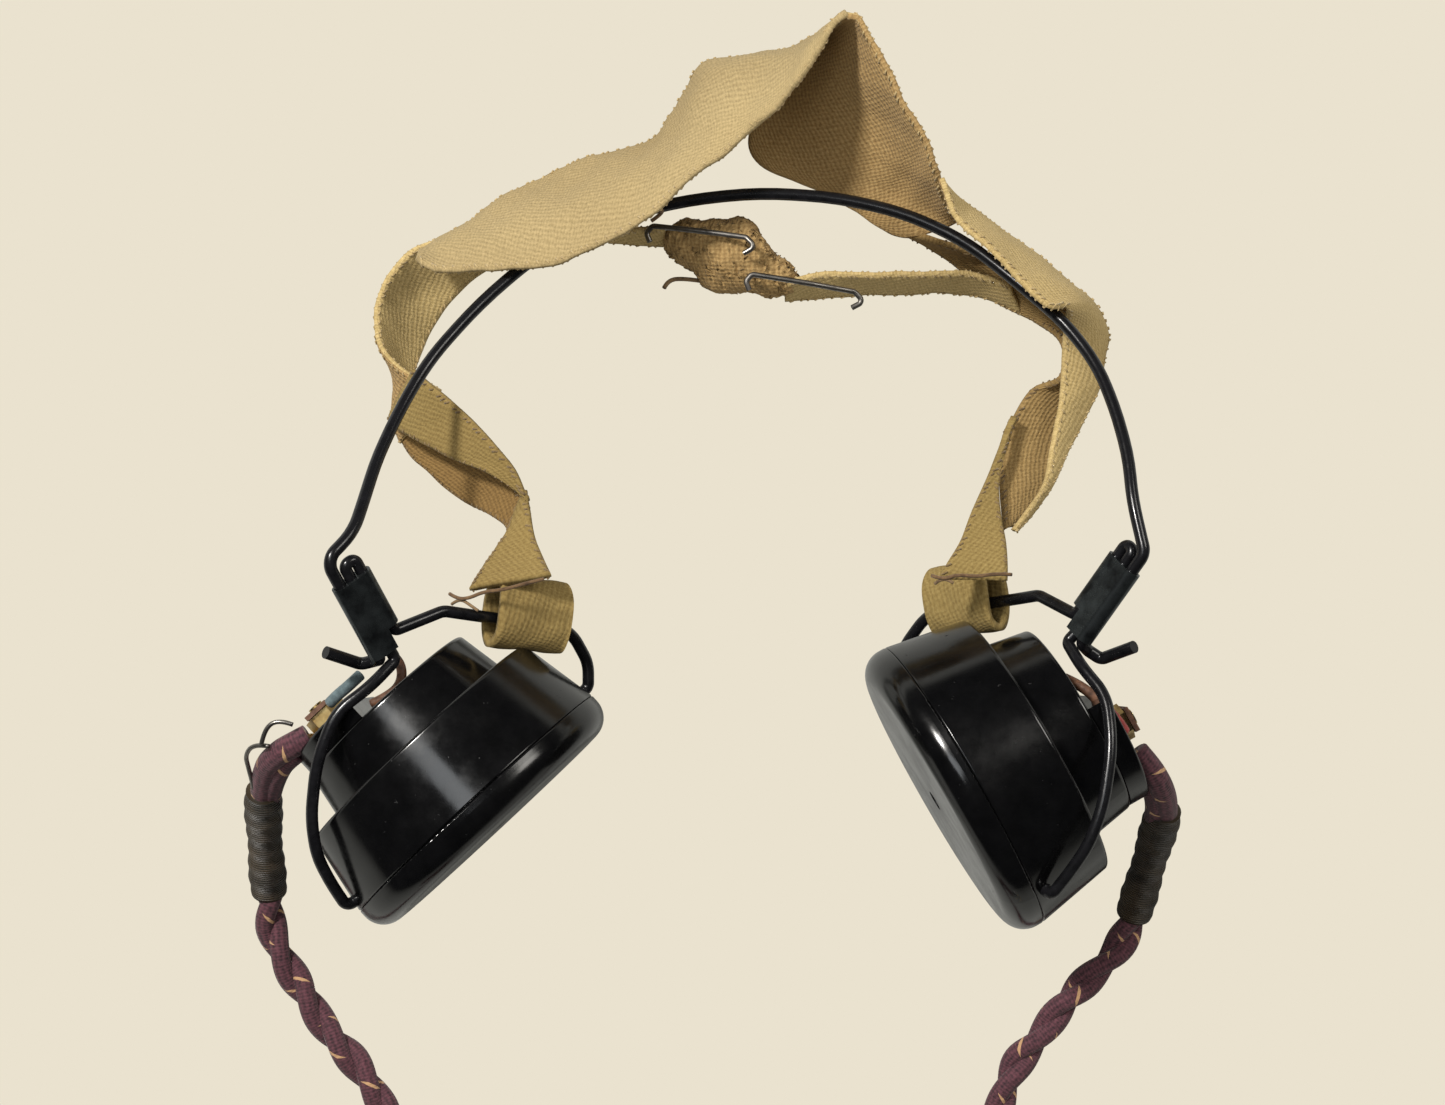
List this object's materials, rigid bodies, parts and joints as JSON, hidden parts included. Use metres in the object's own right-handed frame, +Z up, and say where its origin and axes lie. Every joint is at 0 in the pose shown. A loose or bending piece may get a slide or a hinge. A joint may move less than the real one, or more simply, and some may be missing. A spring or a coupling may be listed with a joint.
{
  "type": "aviation headset",
  "caption": "aviation headset: two magnetic earphones on pivoting wire yokes, sprung wire headband, webbing head strap, twisted cotton cords and telephone plug",
  "frame": {"origin": "on the table under the middle of the headset's box, cords left out", "axes": "+Z up from the table the headset lies on; +Y from the earphones to the top of the headband; +X from the left earphone to the right one in the picture plane"},
  "size_m": [0.2023, 0.4159, 0.0605],
  "materials": {
    "bakelite": "polished black phenolic",
    "tinplate": "japanned thin steel",
    "magnet_steel": "blackened steel",
    "coil_wire": "enamelled copper winding",
    "brass": "aged brass",
    "brown_leather": "worn brown leather",
    "black_wire": "black enamel over spring wire",
    "pin_steel": "dull nickel plate",
    "whipping_thread": "waxed olive-brown thread",
    "cord_cotton": "braided maroon and tan cotton",
    "webbing": "khaki cotton webbing"
  },
  "bodies": {
    "headband": {"cord_coil": "cord_cotton", "cord_junction": "whipping_thread", "cross_strap_left": "webbing", "cross_strap_right": "webbing", "headband_wire": "black_wire", "left_cord": "cord_cotton", "left_cord_hook": "pin_steel", "left_leads": "whipping_thread", "left_whipping": "whipping_thread", "plug_body": "bakelite", "plug_sleeve": "brass", "plug_tip": "brass", "right_cord": "cord_cotton", "right_leads": "whipping_thread", "right_whipping": "whipping_thread", "safety_pin_1": "pin_steel", "safety_pin_2": "pin_steel", "strap_back": "webbing", "strap_bundle": "webbing", "strap_left": "webbing", "strap_right": "webbing", "strap_top": "webbing", "trunk_cord": "cord_cotton", "trunk_tail": "cord_cotton"},
    "left_yoke": {"left_sleeve": "black_wire", "left_strap_loop": "webbing", "left_yoke": "black_wire"},
    "right_yoke": {"right_sleeve": "black_wire", "right_strap_loop": "webbing", "right_yoke": "black_wire"},
    "left_receiver": {"left_coils": "coil_wire", "left_diaphragm": "tinplate", "left_ear_cap": "bakelite", "left_magnet": "magnet_steel", "left_pole_pieces": "magnet_steel", "left_receiver_case": "bakelite", "left_tag_strip": "brown_leather", "left_terminal_block": "bakelite", "left_terminal_nuts": "brass", "left_terminal_screws": "brass"},
    "right_receiver": {"right_coils": "coil_wire", "right_diaphragm": "tinplate", "right_ear_cap": "bakelite", "right_magnet": "magnet_steel", "right_pole_pieces": "magnet_steel", "right_receiver_case": "bakelite", "right_tag_strip": "brown_leather", "right_terminal_block": "bakelite", "right_terminal_nuts": "brass", "right_terminal_screws": "brass"}
  },
  "joints": [
    {"name": "left_swivel", "type": "hinge", "parent": "headband", "child": "left_yoke", "pos_m": [-0.06778, -0.02986, 0.05093], "axis": [-0.3859, 0.8035, 0.4533], "range_deg": [-10, 10], "deforming": ["left_cord", "left_whipping", "left_leads", "strap_left", "left_cord_hook"]},
    {"name": "left_tilt", "type": "hinge", "parent": "left_yoke", "child": "left_receiver", "pos_m": [-0.04897, -0.06361, 0.03016], "axis": [-0.7018, -0.642, 0.3088], "range_deg": [0, 25], "deforming": ["left_cord", "left_whipping", "left_leads", "strap_left", "left_cord_hook"]},
    {"name": "right_swivel", "type": "hinge", "parent": "headband", "child": "right_yoke", "pos_m": [0.0719, -0.02702, 0.04448], "axis": [0.5286, 0.7984, 0.2883], "range_deg": [-10, 10], "deforming": ["right_cord", "right_whipping", "right_leads", "strap_right", "strap_back"]},
    {"name": "right_tilt", "type": "hinge", "parent": "right_yoke", "child": "right_receiver", "pos_m": [0.04756, -0.06056, 0.0301], "axis": [-0.4065, 0.6371, -0.6548], "range_deg": [0, 25], "deforming": ["right_cord", "right_whipping", "right_leads", "strap_right", "strap_back"]}
  ]
}
